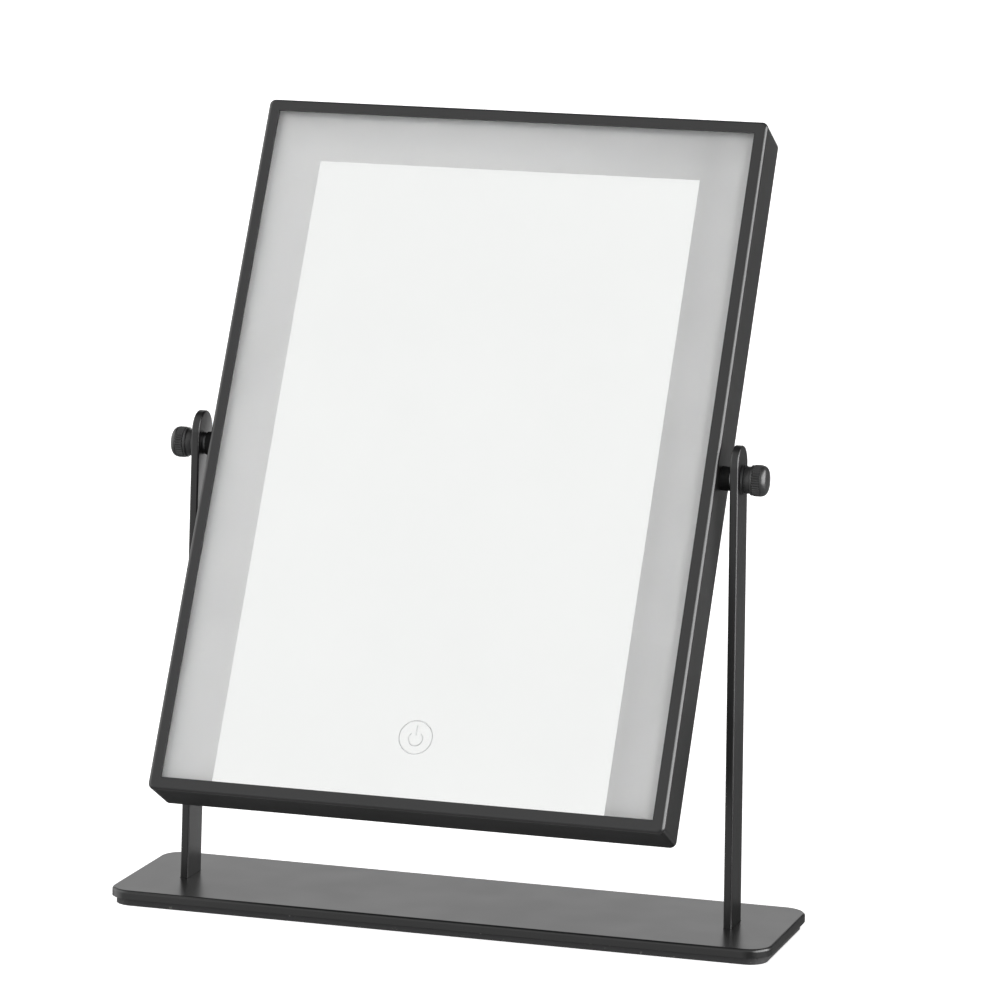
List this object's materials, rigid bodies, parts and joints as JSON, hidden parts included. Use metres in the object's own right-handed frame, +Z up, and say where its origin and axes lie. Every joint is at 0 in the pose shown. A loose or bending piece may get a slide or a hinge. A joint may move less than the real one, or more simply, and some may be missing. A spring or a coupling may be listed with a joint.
{
  "type": "countertop mirror",
  "caption": "Rectangular countertop mirror with a frosted light band, held between posts on a flat base and tilting on thumb knobs.",
  "frame": {"origin": "middle of the base underside, on the table", "axes": "+X to the right along the tilt axis seen from the front, +Y to the back, +Z up; the mirror faces -Y"},
  "size_m": [0.327, 0.1836, 0.3808],
  "materials": {
    "black_steel": "satin black powder coat",
    "black_aluminium": "satin black powder coat on aluminium sheet",
    "white_aluminium": "white coated aluminium sheet",
    "zinc_steel": "zinc plated",
    "black_screw": "blackened steel",
    "rubber_pad": "matt black rubber",
    "black_nylon": "matt black nylon",
    "glass": "clear float glass, sandblasted at the back along three edges",
    "silvering": "silvered",
    "opal": "opal acrylic",
    "strip_board": "white solder mask",
    "led": "phosphor filled",
    "green_board": "green solder mask",
    "board_part": "moulded",
    "white_nylon": "natural nylon",
    "inlet_black": "moulded black",
    "red_lead": "insulated lead",
    "white_lead": "insulated lead",
    "grey_lead": "insulated lead"
  },
  "bodies": {
    "stand": {"base_plate": "black_steel", "base_pad": "rubber_pad", "post_left": "black_steel", "post_right": "black_steel", "foot_screws": "zinc_steel"},
    "head": {"bezel_frame": "black_aluminium", "mirror_glass": "glass", "mirror_silvering": "silvering", "light_diffuser": "opal", "chassis_pan": "white_aluminium", "nut_plate_left": "zinc_steel", "nut_plate_right": "zinc_steel", "led_strip_left": "strip_board", "led_strip_top": "strip_board", "led_strip_right": "strip_board", "led_chips": "led", "touch_sensor": "green_board", "control_board": "green_board", "board_parts": "board_part", "board_spacers": "white_nylon", "board_screws": "zinc_steel", "power_inlet": "inlet_black", "inlet_nut": "zinc_steel", "inlet_lead": "red_lead", "led_lead": "white_lead", "strip_links": "white_lead", "touch_lead": "grey_lead", "cover_standoffs": "zinc_steel", "back_cover": "black_aluminium", "cover_screws": "black_screw", "spacer_left": "black_nylon", "spacer_right": "black_nylon", "pivot_washer_left": "zinc_steel", "pivot_washer_right": "zinc_steel"},
    "collar_left_body": {"collar_left": "black_steel"},
    "knob_left_body": {"knob_left": "black_steel", "stud_left": "zinc_steel"},
    "collar_right_body": {"collar_right": "black_steel"},
    "knob_right_body": {"knob_right": "black_steel", "stud_right": "zinc_steel"}
  },
  "joints": [
    {"name": "head_tilt", "type": "hinge", "parent": "stand", "child": "head", "pos_m": [0, 0, 0.2205], "axis": [1, 0, 0], "continuous": true},
    {"name": "knob_left_travel", "type": "slide", "parent": "head", "child": "collar_left_body", "axis": [-1, 0, 0], "range_m": [0, 0.0016]},
    {"name": "knob_left_turn", "type": "hinge", "parent": "collar_left_body", "child": "knob_left_body", "pos_m": [0, 0, 0.2205], "axis": [-1, 0, 0], "range_deg": [0, 720]},
    {"name": "knob_right_travel", "type": "slide", "parent": "head", "child": "collar_right_body", "axis": [1, 0, 0], "range_m": [0, 0.0016]},
    {"name": "knob_right_turn", "type": "hinge", "parent": "collar_right_body", "child": "knob_right_body", "pos_m": [0, 0, 0.2205], "axis": [1, 0, 0], "range_deg": [0, 720]}
  ],
  "couplings": [
    {"joint": "knob_left_turn", "follows": "knob_left_travel", "rad_per_m": 7854},
    {"joint": "knob_right_turn", "follows": "knob_right_travel", "rad_per_m": 7854}
  ]
}
